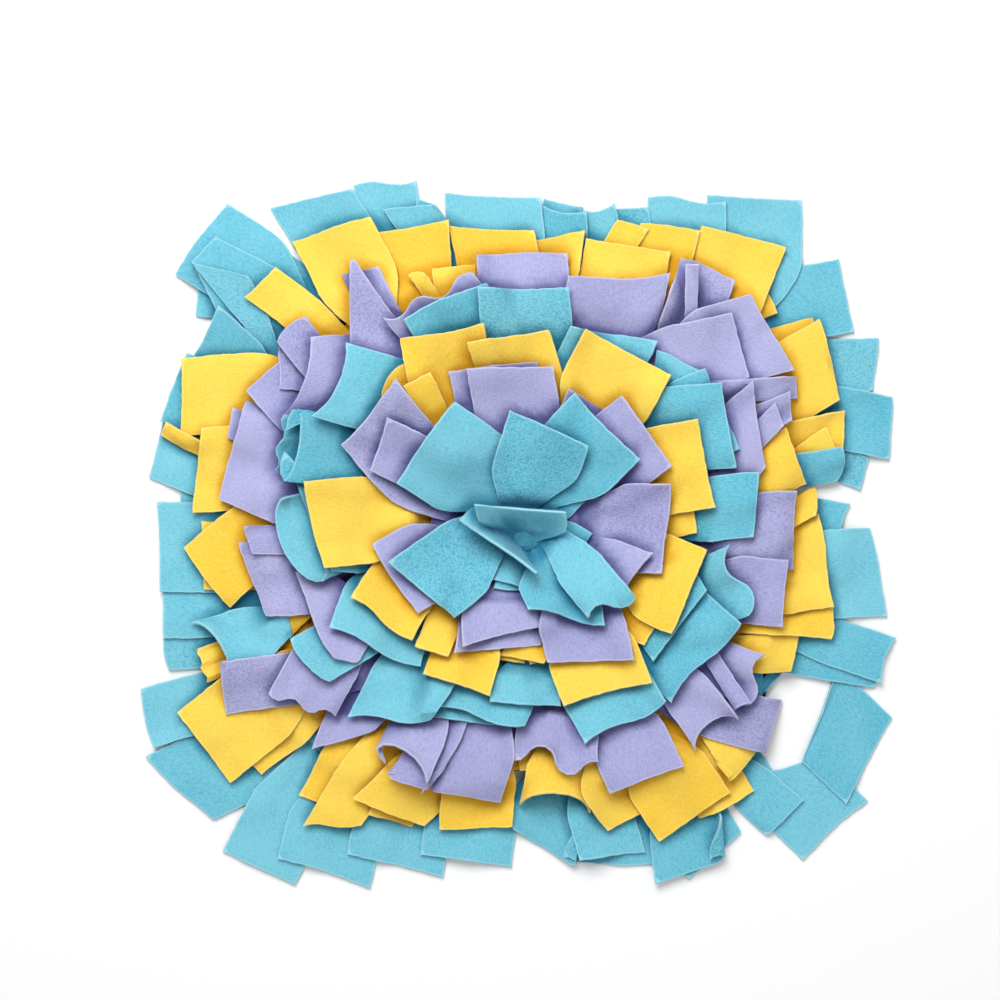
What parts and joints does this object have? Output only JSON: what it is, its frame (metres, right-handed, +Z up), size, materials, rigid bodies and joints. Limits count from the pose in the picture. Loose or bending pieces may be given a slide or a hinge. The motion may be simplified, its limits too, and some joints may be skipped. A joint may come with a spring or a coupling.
{
  "type": "snuffle mat",
  "caption": "Square snuffle mat with rounded corners: rings of soft cut fleece petals in turquoise, yellow and lavender on a flat felt base, in which a dog sniffs for hidden treats.",
  "frame": {"origin": "the middle of the underside of the felt base, on the floor that the mat rests on", "axes": "+Z is up through the pile; +X points to the right and +Y to the top of the picture, which looks straight down on the mat"},
  "size_m": [0.4485, 0.4183, 0.0545],
  "materials": {
    "felt_black": "matt black felt",
    "fleece_turquoise": "matt anti-pill fleece with a soft nap",
    "fleece_yellow": "matt anti-pill fleece with a soft nap",
    "fleece_lavender": "matt anti-pill fleece with a soft nap"
  },
  "bodies": {
    "root": {"base_panel": "felt_black", "ring_outer_turquoise": "fleece_turquoise", "ring_outer_yellow": "fleece_yellow", "ring_outer_lavender": "fleece_lavender", "ring_inner_turquoise": "fleece_turquoise", "ring_inner_yellow": "fleece_yellow", "ring_inner_lavender": "fleece_lavender", "centre_tuft": "fleece_turquoise"}
  },
  "joints": []
}
